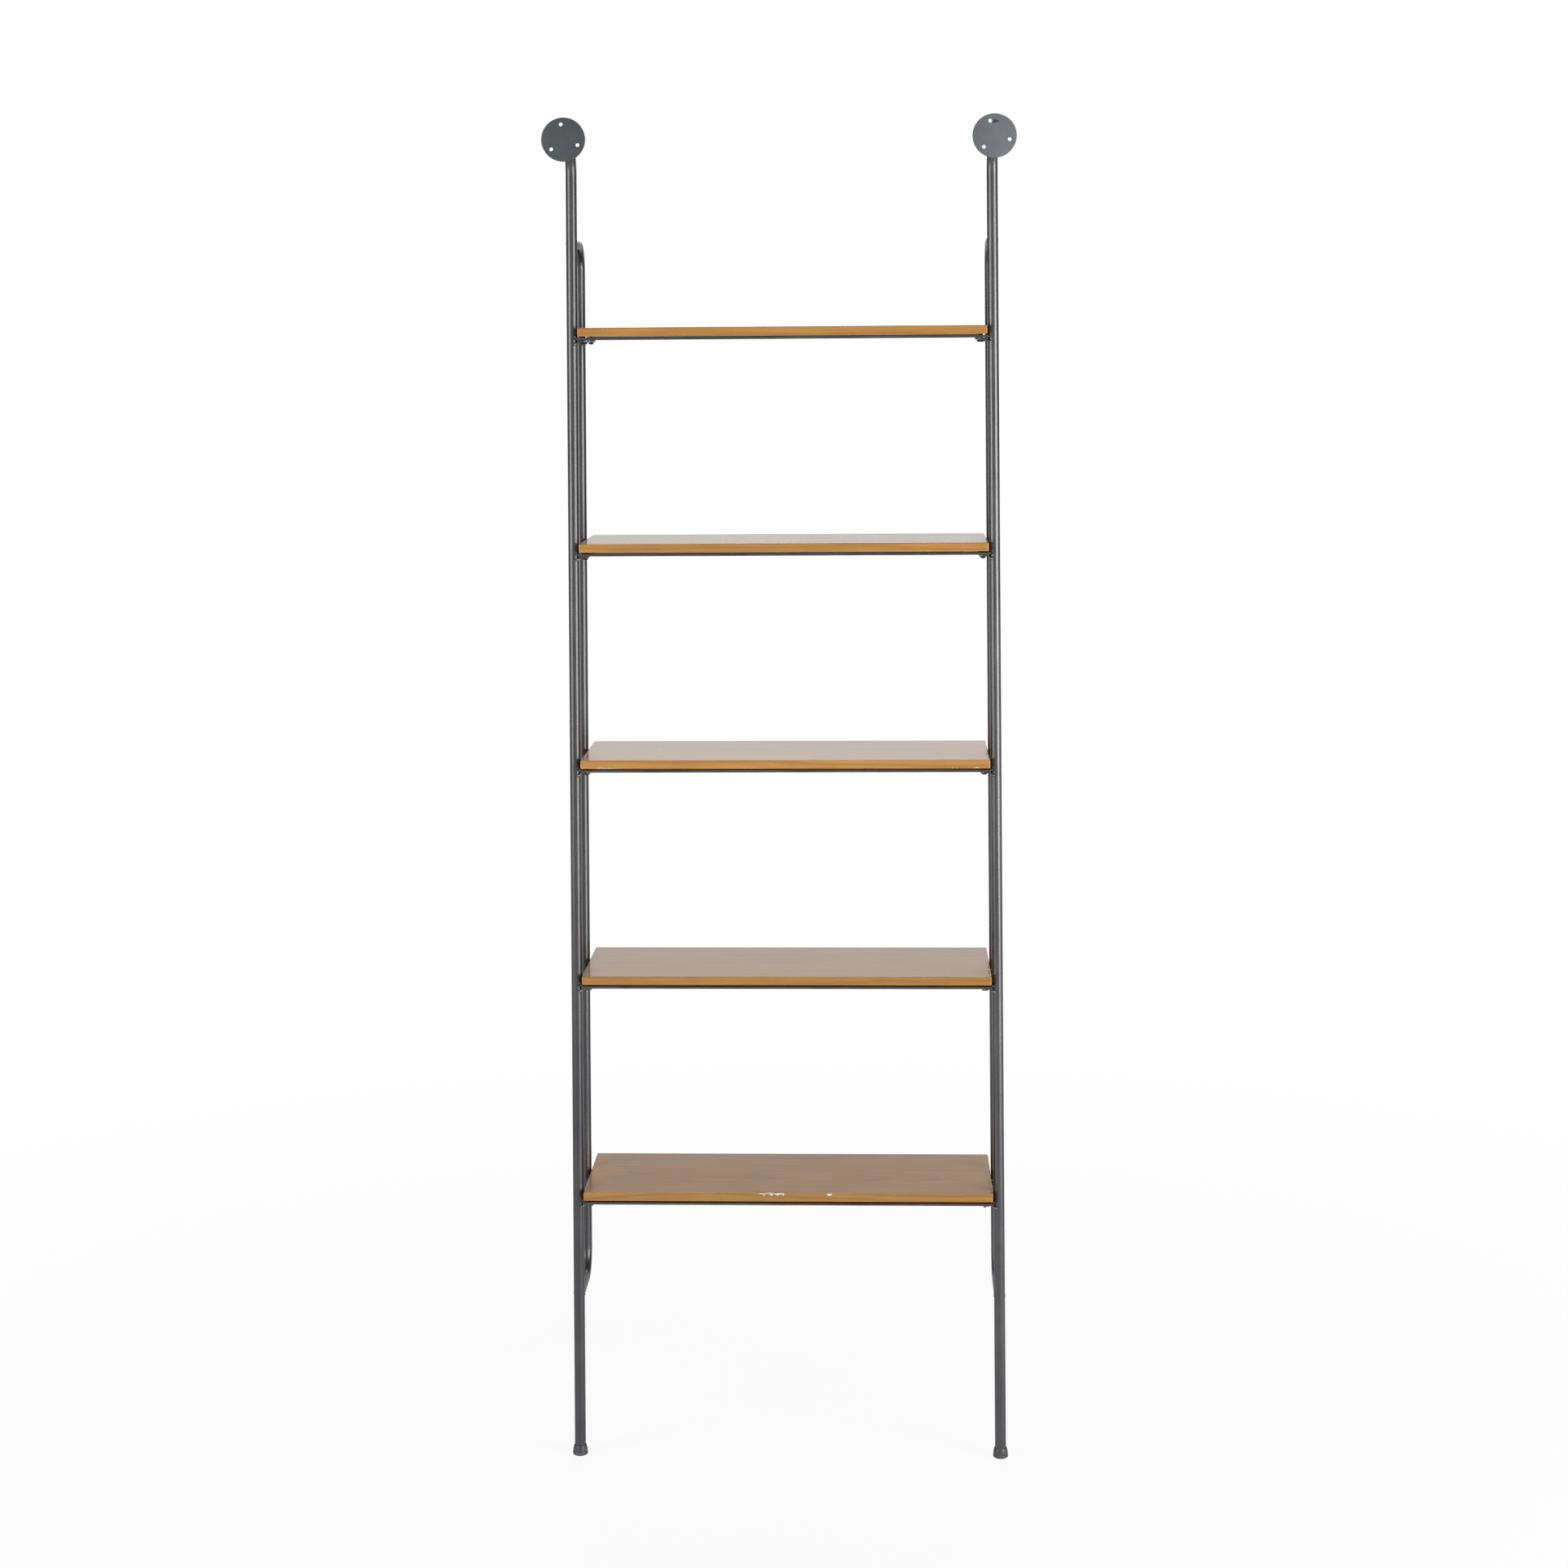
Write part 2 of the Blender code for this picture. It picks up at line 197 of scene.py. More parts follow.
def wood_material():
    """Orange-brown lacquered wood with its grain along X, pale along its arrises: partly worn-off lacquer,
    partly a painted highlight on the edges.

    The growth rings are cylinders round a slowly wandering line below each board, so they draw
    long lines on its faces and edges and short arcs on its ends.
    """
    material, nodes, shader, _ = new_material(
        "Lacquered wood", Coat_Weight=1.0, Coat_IOR=1.5, Specular_IOR_Level=0.3
    )
    place = nodes.add("ShaderNodeAttribute", attribute_name="grain").outputs["Vector"]
    side = nodes.add("ShaderNodeSeparateXYZ", {0: nodes.add("ShaderNodeTexCoord").outputs["Normal"]})
    wander = nodes.noise(nodes.stretched(place, (0.22, 1.0, 1.0)), 7.0, 2.0, 0.5)
    ripple = nodes.noise(nodes.stretched(place, (0.15, 1.0, 1.0)), 60.0, 2.0, 0.5)
    apart = nodes.add("ShaderNodeSeparateXYZ", {0: place})
    depth = nodes.math("ADD", apart.outputs[2], nodes.math("MULTIPLY", wander, 0.06))
    across = nodes.math("MULTIPLY", nodes.math("ADD", apart.outputs[1], 0.05), 0.6)
    squares = nodes.math("ADD", nodes.math("POWER", depth, 2.0), nodes.math("POWER", across, 2.0))
    radius = nodes.math("SQRT", squares)
    radius = nodes.math("ADD", radius, nodes.math("MULTIPLY", ripple, 0.003))
    ring = nodes.math("FRACT", nodes.math("MULTIPLY", radius, 210.0))
    late = nodes.ramp(ring, (0.0, 0.25), (0.12, 0.0), (0.60, 0.0), (0.94, 1.0), (1.0, 0.35))
    bands = nodes.noise(nodes.stretched(place, (0.05, 1.0, 1.0)), 110.0, 4.0, 0.6)
    fibres = nodes.noise(nodes.stretched(place, (0.03, 1.0, 1.0)), 520.0, 4.0, 0.6)
    pores = nodes.noise(nodes.stretched(place, (0.05, 1.0, 1.0)), 1300.0, 2.0, 0.5)
    cloud = nodes.noise(nodes.stretched(place, (0.5, 1.0, 1.0)), 11.0, 3.0, 0.55)
    tint = nodes.math("ADD", nodes.math("MULTIPLY", cloud, 0.5), nodes.math("MULTIPLY", bands, 0.5))
    colour = nodes.ramp(tint, (0.38, (0.405, 0.178, 0.024)), (0.62, (0.506, 0.246, 0.038)))
    on_edge = nodes.ramp(nodes.math("ABSOLUTE", side.outputs[1]), (0.5, 0.32), (0.8, 0.5))
    colour = nodes.mix(nodes.math("MULTIPLY", late, on_edge), colour, (0.25, 0.10, 0.022))
    colour = nodes.mix(nodes.ramp(fibres, (0.36, 0.38), (0.58, 0.0)), colour, (0.30, 0.125, 0.032))
    pore = nodes.ramp(pores, (0.28, 1.0), (0.36, 0.0))
    colour = nodes.mix(nodes.math("MULTIPLY", pore, 0.12), colour, (0.13, 0.055, 0.02))
    squeezed = nodes.stretched(place, (0.6, 1.0, 1.0))
    knots = nodes.add("ShaderNodeTexVoronoi", {"Vector": squeezed, "Scale": 15.0})
    knot = nodes.ramp(knots.outputs["Distance"], (0.018, 1.0), (0.034, 0.0))
    colour = nodes.mix(nodes.math("MULTIPLY", knot, 0.8), colour, (0.07, 0.03, 0.012))
    tone = nodes.add("ShaderNodeAttribute", attribute_name="tone").outputs["Fac"]
    colour = nodes.add("ShaderNodeVectorMath", {0: colour, "Scale": tone}, operation="SCALE").outputs[0]
    # Ends of the boards: short dark pores instead of long grain.
    is_end = nodes.ramp(nodes.math("ABSOLUTE", side.outputs[0]), (0.75, 0.0), (0.92, 1.0))
    end_grain = nodes.mix(nodes.math("MULTIPLY", late, 0.7), (0.30, 0.13, 0.038), (0.15, 0.06, 0.02))
    colour = nodes.mix(is_end, colour, end_grain)
    # Pale arrises: partly worn lacquer, partly a painted highlight along every edge of the board.
    wear_and_highlight = nodes.add("ShaderNodeAttribute", attribute_name="wear_and_highlight").outputs["Fac"]
    worn_and_highlit_arris = nodes.math("MULTIPLY", wear_and_highlight, nodes.ramp(fibres, (0.25, 0.55), (0.6, 1.0)))
    colour = nodes.mix(nodes.math("MULTIPLY", worn_and_highlit_arris, 0.45), colour, (0.66, 0.44, 0.21))
    chip = nodes.add("ShaderNodeAttribute", attribute_name="chip").outputs["Fac"]
    crumbs = nodes.math("SUBTRACT", nodes.noise(place, 380.0, 3.0, 0.6), 0.5)
    crumbs = nodes.math("ADD", chip, nodes.math("MULTIPLY", crumbs, 2.2))
    near_chip = nodes.ramp(chip, (0.02, 0.0), (0.2, 1.0))
    bare = nodes.math("MULTIPLY", nodes.ramp(crumbs, (0.50, 0.0), (0.60, 1.0)), near_chip)
    colour = nodes.mix(bare, colour, (0.86, 0.79, 0.66))
    nodes.feed(shader.inputs["Base Color"], colour)
    nodes.feed(shader.inputs["Roughness"], nodes.math("ADD", nodes.math("MULTIPLY", fibres, 0.2), 0.4))
    smear = nodes.noise(nodes.stretched(place, (0.4, 1.0, 1.0)), 18.0, 3.0, 0.55)
    gloss = nodes.math("ADD", nodes.math("MULTIPLY", smear, 0.16), 0.06)
    nodes.feed(shader.inputs["Coat Roughness"], nodes.math("ADD", gloss, nodes.math("MULTIPLY", wear_and_highlight, 0.2)))
    height = nodes.math("SUBTRACT", nodes.math("MULTIPLY", fibres, 0.6), nodes.math("MULTIPLY", pore, 0.5))
    nodes.feed(shader.inputs["Normal"], nodes.bump(height, 0.2, 0.0003))
    waves = nodes.math("ADD", bands, nodes.math("MULTIPLY", fibres, 0.25))
    nodes.feed(shader.inputs["Coat Normal"], nodes.bump(waves, 0.08, 0.0003))
    return material


def rubber_material():
    """Dark grey moulded rubber with a matt bloom and a little floor dust low down."""
    material, nodes, shader, place = new_material("Foot rubber", Specular_IOR_Level=0.6)
    grain = nodes.noise(place, 1500.0, 3.0, 0.6)
    bloom = nodes.noise(place, 140.0, 4.0, 0.6)
    colour = nodes.ramp(bloom, (0.35, (0.052, 0.050, 0.056)), (0.7, (0.078, 0.075, 0.082)))
    height_z = nodes.add("ShaderNodeSeparateXYZ", {0: place}).outputs[2]
    dusty = nodes.ramp(height_z, (0.0, 0.55), (0.006, 0.0))
    colour = nodes.mix(nodes.math("MULTIPLY", dusty, bloom), colour, (0.22, 0.21, 0.19))
    nodes.feed(shader.inputs["Base Color"], colour)
    nodes.feed(shader.inputs["Roughness"], nodes.math("ADD", nodes.math("MULTIPLY", bloom, 0.2), 0.3))
    nodes.feed(shader.inputs["Normal"], nodes.bump(grain, 0.25, 0.0002))
    return material


def screw_material():
    """Black phosphated steel with grey rubs on the high spots."""
    material, nodes, shader, place = new_material("Black screw", Metallic=0.7)
    rub = nodes.noise(place, 1100.0, 4.0, 0.6)
    colour = nodes.ramp(rub, (0.45, (0.010, 0.010, 0.011)), (0.72, (0.050, 0.048, 0.046)))
    nodes.feed(shader.inputs["Base Color"], colour)
    nodes.feed(shader.inputs["Roughness"], nodes.math("ADD", nodes.math("MULTIPLY", rub, 0.25), 0.3))
    nodes.feed(shader.inputs["Normal"], nodes.bump(rub, 0.15, 0.0002))
    return material


MATERIALS = {
    "right_tube": steel_material("Raw steel tube, right", (0.100, 0.100, 0.102), (0.135, 0.136, 0.135), 0.36),
    "left_tube": steel_material("Raw steel tube, left", (0.120, 0.120, 0.121), (0.160, 0.161, 0.158), 0.36),
    "right_flange": steel_material(
        "Flange steel, right", (0.130, 0.142, 0.151), (0.170, 0.184, 0.193), 0.45, (1.0, 1.0, 0.25)
    ),
    "left_flange": steel_material(
        "Flange steel, left",
        (0.255, 0.275, 0.290),
        (0.325, 0.346, 0.366),
        0.38,
        (1.0, 1.0, 0.25),
        LEFT_FLANGE_STAIN,
    ),
    "bar": steel_material("Raw steel bar", (0.085, 0.09, 0.08), (0.17, 0.175, 0.165), 0.42, (0.03, 1.0, 1.0)),
    "weld": weld_material(),
    "wood": wood_material(),
    "rubber": rubber_material(),
    "screw": screw_material(),
}


# ---------------------------------------------------------------- mesh helpers


def mesh_from(name, build, sharp=35.0):
    """A mesh that build fills, smooth except at edges over sharp degrees."""
    mesh = bpy.data.meshes.new(name)
    bm = bmesh.new()
    build(bm)
    bmesh.ops.recalc_face_normals(bm, faces=bm.faces)
    bm.to_mesh(mesh)
    bm.free()
    mesh.shade_smooth()
    mesh.set_sharp_from_angle(angle=math.radians(sharp))
    return mesh


def piece(name, mesh, material, slot, *nodes, place=None):
    """A finished piece: its material, its body and the CAD nodes that it stands for. The slot is not used."""
    obj = bpy.data.objects.new(name, mesh)
    bpy.context.scene.collection.objects.link(obj)
    if not mesh.materials:
        mesh.materials.append(MATERIALS[material])
    if place:
        obj.matrix_world = place
    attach(obj, "root")
    if nodes:
        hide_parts(*nodes)
    return obj


def carve(mesh, *cutters):
    """The mesh with the cutter meshes' shapes taken away."""
    body = bpy.data.objects.new("carved", mesh)
    bpy.context.scene.collection.objects.link(body)
    tools = []
    for cutter in cutters:
        tool = bpy.data.objects.new("tool", cutter)
        bpy.context.scene.collection.objects.link(tool)
        tools.append(tool)
        modifier = body.modifiers.new("Cut", "BOOLEAN")
        modifier.operation = "DIFFERENCE"
        modifier.object = tool
    graph = bpy.context.evaluated_depsgraph_get()
    carved = bpy.data.meshes.new_from_object(body.evaluated_get(graph))
    for obj in (body, *tools):
        bpy.data.objects.remove(obj)
    return carved


def centre(node):
    low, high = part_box(node)
    return (Vector(low) + Vector(high)) / 2


def ring_faces(bm, first, second):
    count = len(first)
    for i in range(count):
        j = (i + 1) % count
        bm.faces.new((first[i], first[j], second[j], second[i]))


def turned(bm, profile, sides):
    """A solid of revolution about Z, from a profile that starts and ends on the axis."""
    rings = []
    for radius, height in profile:
        count = sides if radius else 1
        turns = [2 * math.pi * i / sides for i in range(count)]
        rings.append([bm.verts.new((radius * math.cos(a), radius * math.sin(a), height)) for a in turns])
    for lower, upper in zip(rings, rings[1:]):
        for i in range(sides):
            corners = [lower[i % len(lower)], lower[(i + 1) % len(lower)]]
            corners += [upper[(i + 1) % len(upper)], upper[i % len(upper)]]
            bm.faces.new(dict.fromkeys(corners))


def rounded(points, radius, steps=5):
    """The profile with each inner corner rounded: an arc-like curve between two points on its sides."""
    smooth = [points[0]]
    for before, corner, after in zip(points, points[1:], points[2:]):
        corner = Vector(corner)
        start = Vector(before) - corner
        end = Vector(after) - corner
        reach = min(radius, start.length * 0.45, end.length * 0.45)
        start = corner + start.normalized() * reach
        end = corner + end.normalized() * reach
        for i in range(steps + 1):
            t = i / steps
            smooth.append(tuple(start * (1 - t) ** 2 + corner * 2 * t * (1 - t) + end * t * t))
    smooth.append(points[-1])
    return smooth


# ---------------------------------------------------------------- tubes


class SideFrame:
    """Where one side's tubes are, read from the CAD boxes."""

    def __init__(self, side):
        low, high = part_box(side + "_upright")
        self.side = side
        self.inward = -SIDES[side]
        self.x = (low[0] + high[0]) / 2
        self.radius = (high[0] - low[0]) / 2
        self.y = low[1] + self.radius
        self.foot_z = low[2]
        self.top_z = high[2] - self.radius
        self.end_y = high[1]
        low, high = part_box(side + "_front_tube")
        self.front_y = low[1] + self.radius
        self.low_leg_z = low[2] + self.radius
        self.high_leg_z = high[2] - self.radius


def arc(middle, radius, start, end):
    """(y, z, tangent angle) along a bend. Angles run from +Y towards +Z."""
    turn = math.copysign(math.pi / 2, end - start)
    for step in range(BEND_STEPS + 1):
        angle = start + (end - start) * step / BEND_STEPS
        y = middle[0] + radius * math.cos(angle)
        yield y, middle[1] + radius * math.sin(angle), angle + turn


def upright_route(at):
    bend_z = at.top_z - WALL_BEND_RADIUS
    route = [(at.y, at.foot_z, math.pi / 2)]
    route += arc((at.y + WALL_BEND_RADIUS, bend_z), WALL_BEND_RADIUS, math.pi, math.pi / 2)
    route.append((at.end_y, at.top_z, 0.0))
    return route


def front_route(at):
    bend_y = at.front_y + FRONT_BEND_RADIUS
    upper = (bend_y, at.high_leg_z - FRONT_BEND_RADIUS)
    lower = (bend_y, at.low_leg_z + FRONT_BEND_RADIUS)
    route = [(at.y, at.high_leg_z, math.pi)]
    route += arc(upper, FRONT_BEND_RADIUS, math.pi / 2, math.pi)
    route += arc(lower, FRONT_BEND_RADIUS, math.pi, 3 * math.pi / 2)
    route.append((at.y, at.low_leg_z, 2 * math.pi))
    return route


def tube(bm, at, route, saddle):
    """A hollow tube along the route. With saddle, both ends are cut to fit round the upright."""
    walls = []
    for radius in (at.radius, at.radius - TUBE_WALL):
        rings = []
        for index, (y, z, tangent) in enumerate(route):
            ring = []
            for i in range(TUBE_SIDES):
                angle = 2 * math.pi * i / TUBE_SIDES
                across = radius * math.cos(angle)
                outward = radius * math.sin(angle)
                place = Vector((0.0, -math.sin(tangent), math.cos(tangent))) * outward
                place += Vector((at.x + across, y, z))
                if saddle and index in (0, len(route) - 1):
                    place.y = at.y - math.sqrt(max(at.radius**2 - across**2, 0.0))
                ring.append(bm.verts.new(place))
            rings.append(ring)
        for first, second in zip(rings, rings[1:]):
            ring_faces(bm, first, second)
        walls.append(rings)
    for end in (0, -1):
        ring_faces(bm, walls[0][end], walls[1][end])


def add_tubes(at):
    upright = mesh_from(at.side + " upright", lambda bm: tube(bm, at, upright_route(at), False))
    piece(at.side + "_upright_tube", upright, at.side + "_tube", "tube_steel", at.side + "_upright")
    front = mesh_from(at.side + " front tube", lambda bm: tube(bm, at, front_route(at), True))
    piece(at.side + "_front_loop_tube", front, at.side + "_tube", "tube_steel", at.side + "_front_tube")


# ---------------------------------------------------------------- welds

BEAD_PITCH = 1.9 * MM
BEAD_SIDES = 12
SADDLE_BEAD = 0.9 * MM
COLLAR_BEAD = 1.7 * MM
UNDER_BEAD = 2.1 * MM
BAR_BEAD = 1.6 * MM
FILLET_BEAD = 2.0 * MM


def bead(bm, points, radius, seed):
    """One weld bead along a smooth list of points: overlapping ripples, thick and thin, ends closed."""
    travelled = 0.0
    rings = []
    across = Vector((0.0, 0.0, 1.0))
    for index, point in enumerate(points):
        before = points[max(index - 1, 0)]
        after = points[min(index + 1, len(points) - 1)]
        along = (after - before).normalized()
        travelled += (point - before).length
        side = along.cross(across).normalized()
        across = side.cross(along).normalized()
        phase = travelled / BEAD_PITCH % 1.0
        ripple = 0.84 + 0.24 * math.sqrt(phase)
        lumpy = 1.0 + 0.22 * noise.noise(point * 260.0 + Vector((seed, 0.0, 0.0)))
        end = min(index, len(points) - 1 - index) / 4.0
        size = radius * ripple * lumpy * min(1.0, 0.35 + 0.65 * end)
        ring = []
        for i in range(BEAD_SIDES):
            angle = 2 * math.pi * i / BEAD_SIDES
            ring.append(bm.verts.new(point + (side * math.cos(angle) + across * math.sin(angle)) * size))
        rings.append(ring)
    for first, second in zip(rings, rings[1:]):
        ring_faces(bm, first, second)
    bm.faces.new(list(reversed(rings[0])))
    bm.faces.new(rings[-1])


def arc_points(middle, radius, start, end, sag=0.0):
    """Points of a level arc round a vertical tube, its ends sagging below its middle."""
    count = max(int(abs(end - start) * radius / (0.3 * MM)), 8)
    for i in range(count + 1):
        t = i / count
        angle = start + (end - start) * t
        drop = sag * (2 * t - 1) ** 2
        yield middle + Vector((radius * math.cos(angle), radius * math.sin(angle), -drop))


def saddle_points(at, z):
    """Points all round the joint of a leg with its upright."""
    reach = at.radius - 0.2 * MM
    for i in range(121):
        angle = 2 * math.pi * i / 120
        x = reach * math.sin(angle)
        y = -math.sqrt(max(at.radius**2 - x * x, 0.0)) - 0.5 * MM
        yield Vector((at.x + x, at.y + y, z + reach * math.cos(angle)))


def collar_points(at):
    """Points all round the upright's end, in the corner with its flange."""
    reach = at.radius + 0.6 * MM
    for i in range(141):
        angle = 2 * math.pi * i / 140
        x = at.x + reach * math.cos(angle)
        yield Vector((x, at.end_y - 0.6 * MM, at.top_z + reach * math.sin(angle)))


def add_frame_welds(at):
    def build(bm):
        bead(bm, list(saddle_points(at, at.high_leg_z)), SADDLE_BEAD, 3.0)
        bead(bm, list(saddle_points(at, at.low_leg_z)), SADDLE_BEAD, 7.0)
        bead(bm, list(collar_points(at)), COLLAR_BEAD, 11.0)

    piece(at.side + "_frame_welds", mesh_from(at.side + " frame welds", build, 60.0), "weld", "tube_steel")


def add_shelf_welds(at, number):
    """The beads that hold one shelf's bars: round both tubes, and in the corners under the crossbars."""
    bar_low, bar_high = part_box(f"{at.side}_side_bar_{number}")
    inner_x = bar_low[0] if at.inward < 0 else bar_high[0]
    facing = 0.0 if at.inward > 0 else math.pi
    spread = math.radians(72.0)

    def build(bm):
        for end, y in (("rear", at.y), ("front", at.front_y)):
            seed = number * 5.0 + y * 100.0 + at.x
            middle = Vector((at.x, y, bar_low[2] - 0.4 * MM))
            radius = at.radius + 1.0 * MM
            points = arc_points(middle, radius, facing - spread, facing + spread, 3.2 * MM)
            bead(bm, list(points), UNDER_BEAD, seed)
            cross_low, cross_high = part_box(f"{end}_crossbar_{number}")
            middle = Vector((at.x, y, (cross_low[2] + cross_high[2]) / 2))
            radius = at.radius + 0.8 * MM
            bead(bm, list(arc_points(middle, radius, facing - 0.9, facing + 0.9)), BAR_BEAD, seed + 2.0)
            count = 60
            fillet = []
            for i in range(count + 1):
                along = cross_low[1] + 1.5 * MM + (cross_high[1] - cross_low[1] - 3 * MM) * i / count
                wander = 0.25 * MM * noise.noise(Vector((along * 300.0, seed, 1.0)))
                fillet.append(Vector((inner_x + wander, along, cross_low[2] - 1.1 * MM)))
            bead(bm, fillet, FILLET_BEAD, seed + 4.0)

    mesh = mesh_from(f"{at.side} welds {number}", build, 60.0)
    piece(f"{at.side}_shelf_welds_{number}", mesh, "weld", "bar_steel")


# ---------------------------------------------------------------- flanges and foot caps

FLANGE_EDGE = 0.5 * MM
FLANGE_HOLE_RADIUS = 2.7 * MM
FLANGE_HOLE_CIRCLE = 22 * MM
FLANGE_HOLE_TURN = {"left": math.radians(16.0), "right": math.radians(8.6)}


def hole_cutter(bm, place, thickness):
    """A drilled hole with both its edges deburred."""
    burr = 0.45 * MM
    wide = FLANGE_HOLE_RADIUS + 2 * burr
    turned(
        bm,
        [
            (0.0, -burr),
            (wide, -burr),
            (FLANGE_HOLE_RADIUS, burr),
            (FLANGE_HOLE_RADIUS, thickness - burr),
            (wide, thickness + burr),
            (0.0, thickness + burr),
        ],
        40,
    )
    bmesh.ops.translate(bm, verts=bm.verts, vec=place)


def add_flange(at):
    low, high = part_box(at.side + "_wall_flange")
    thickness = high[1] - low[1]
    radius = (high[0] - low[0]) / 2
    outline = [(0.0, 0.0), (radius, 0.0), (radius, thickness), (0.0, thickness)]
    disc = mesh_from(at.side + " flange", lambda bm: turned(bm, rounded(outline, FLANGE_EDGE), 128))
    cutters = []
    for i in range(3):
        angle = FLANGE_HOLE_TURN[at.side] + i * 2 * math.pi / 3
        place = Vector((math.sin(angle), math.cos(angle), 0.0)) * FLANGE_HOLE_CIRCLE
        cutters.append(mesh_from("hole", lambda bm: hole_cutter(bm, place, thickness)))
    disc = carve(disc, *cutters)
    disc.set_sharp_from_angle(angle=math.radians(35.0))
    place = Matrix.Translation((at.x, high[1], at.top_z)) @ Matrix.Rotation(math.pi / 2, 4, "X")
    disc.transform(place)
    name = at.side + "_flange"
    piece(name + "_plate", disc, name, "flange_steel", at.side + "_wall_flange")


def add_foot_cap(at):
    """A moulded cap: rounded sole, a low band with a groove over it, a shoulder and a lip round the tube."""
    low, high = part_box(at.side + "_foot_cap")
    radius = (high[0] - low[0]) / 2
    top = high[2]
    bore = at.radius + 0.02 * MM
    outline = [
        (0.0, 0.0),
        (radius - 2.8 * MM, 0.0),
        (radius - 0.1 * MM, 1.4 * MM),
        (radius, 4.2 * MM),
        (radius - 0.8 * MM, 5.0 * MM),
        (radius - 0.3 * MM, 5.9 * MM),
        (radius - 0.8 * MM, top - 4.2 * MM),
        (bore + 1.0 * MM, top - 0.5 * MM),
        (bore + 0.7 * MM, top),
        (bore + 0.25 * MM, top),
        (bore, top - 0.8 * MM),
        (bore, at.foot_z),
        (0.0, at.foot_z),
    ]
    mesh = mesh_from(at.side + " foot cap", lambda bm: turned(bm, rounded(outline, 0.9 * MM), 64), 50.0)
    mesh.transform(Matrix.Translation((at.x, at.y, 0.0)))
    piece(at.side + "_rubber_foot", mesh, "rubber", "foot_rubber", at.side + "_foot_cap")


# ---------------------------------------------------------------- bars and screws

BAR_EDGE = 0.45 * MM
STEEPEST = math.radians(89.99)
SCREW_HEAD = 3.0 * MM
SCREW_SHANK = 1.7 * MM
SCREW_POINT = 2.5 * MM
HEAD_SIDES = 40
SCREW_TURN = 2.4


def rounded_box(bm, low, high, radius, cells):
    """A box with round edges and corners. cells is the number of faces along each flat side."""
    steps = 3
    sides = []
    for axis in range(3):
        start, end = low[axis] + radius, high[axis] - radius
        spans = [(start + (end - start) * i / cells[axis], 0.0) for i in range(cells[axis] + 1)]
        curve = [math.pi / 2 * i / steps for i in range(1, steps + 1)]
        spans = [(start, -a) for a in reversed(curve)] + spans + [(end, a) for a in curve]
        sides.append(spans)
    verts = {}

    def vert(i, j, k):
        key = (i, j, k)
        if key not in verts:
            picked = [sides[axis][index] for axis, index in enumerate(key)]
            core = Vector([value for value, _ in picked])
            lean = Vector([math.tan(max(-STEEPEST, min(STEEPEST, a))) for _, a in picked])
            verts[key] = bm.verts.new(core + lean.normalized() * radius if lean.length else core)
        return verts[key]

    counts = [len(spans) for spans in sides]
    for axis in range(3):
        u, v = (axis + 1) % 3, (axis + 2) % 3
        for face in (0, counts[axis] - 1):
            for i in range(counts[u] - 1):
                for j in range(counts[v] - 1):
                    corners = []
                    for di, dj in ((0, 0), (1, 0), (1, 1), (0, 1)):
                        key = [0, 0, 0]
                        key[axis], key[u], key[v] = face, i + di, j + dj
                        corners.append(vert(*key))
                    bm.faces.new(corners)


def add_bar(node, cells):
    low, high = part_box(node)
    mesh = mesh_from(node, lambda bm: rounded_box(bm, low, high, BAR_EDGE, cells), 60.0)
    piece(node + "_flat", mesh, "bar", "bar_steel", node)


def screw_mesh(node):
    """Pan head with a cross recess, and a plain shank, around its own centre line."""
    low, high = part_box(node)
    radius = (high[0] - low[0]) / 2
    middle = centre(node)
    crown = 0.62 * SCREW_HEAD
    tip = high[2] - SCREW_POINT
    outline = [(0.0, low[2])]
    for i in range(1, 9):
        angle = math.pi / 2 * i / 8
        outline.append((radius * math.sin(angle), low[2] + crown * (1 - math.cos(angle))))
    outline += [
        (radius, low[2] + SCREW_HEAD - 0.2 * MM),
        (radius - 0.2 * MM, low[2] + SCREW_HEAD),
        (SCREW_SHANK, low[2] + SCREW_HEAD),
        (SCREW_SHANK, tip),
        (0.0, high[2]),
    ]
    body = mesh_from("screw", lambda bm: turned(bm, outline, HEAD_SIDES))

    def slot(bm, turn):
        """One arm of the cross recess: a tapered bar."""
        made = bmesh.ops.create_cone(
            bm, cap_ends=True, segments=4, radius1=2.9 * MM, radius2=0.9 * MM, depth=2.6 * MM
        )
        verts = made["verts"]
        bmesh.ops.rotate(bm, verts=verts, matrix=Matrix.Rotation(math.pi / 4, 3, "Z"))
        bmesh.ops.scale(bm, verts=verts, vec=(1.0, 0.2, 1.0))
        bmesh.ops.rotate(bm, verts=verts, matrix=Matrix.Rotation(turn, 3, "Z"))
        bmesh.ops.translate(bm, verts=verts, vec=(0.0, 0.0, low[2] + 0.9 * MM))

    for turn in (0.0, math.pi / 2):
        body = carve(body, mesh_from("slot", lambda bm: slot(bm, turn)))
    body.set_sharp_from_angle(angle=math.radians(35.0))
    body.transform(Matrix.Translation((0.0, 0.0, -middle.z)))
    return body


def add_screws():
    """All screws share one mesh. Each is turned by a different amount, as real ones end up."""
    mesh = screw_mesh("left_rear_screw_1")
    mesh.materials.append(MATERIALS["screw"])
    count = 0
    for number in BOARDS:
        for side in SIDES:
            for end in ("rear", "front"):
                node = f"{side}_{end}_screw_{number}"
                turn = Matrix.Rotation(count * SCREW_TURN, 4, "Z")
                place = Matrix.Translation(centre(node)) @ turn
                piece(node + "_pan_head", mesh, "screw", "screw_black", node, place=place)
                count += 1


# ---------------------------------------------------------------- boards

BOARD_EDGE = 1.6 * MM
BOARD_CELLS = (150, 40, 3)
BOARD_TONES = {1: 1.10, 2: 1.10, 3: 1.26, 4: 1.00, 5: 0.99}
WEAR_DEPTH = 0.35 * MM
CHIP_DEPTH = 0.6 * MM
# How far a chip reaches from the upper (1) or the lower (-1) arris.
CHIP_REACH = {1: 3.0 * MM, -1: 2.1 * MM}
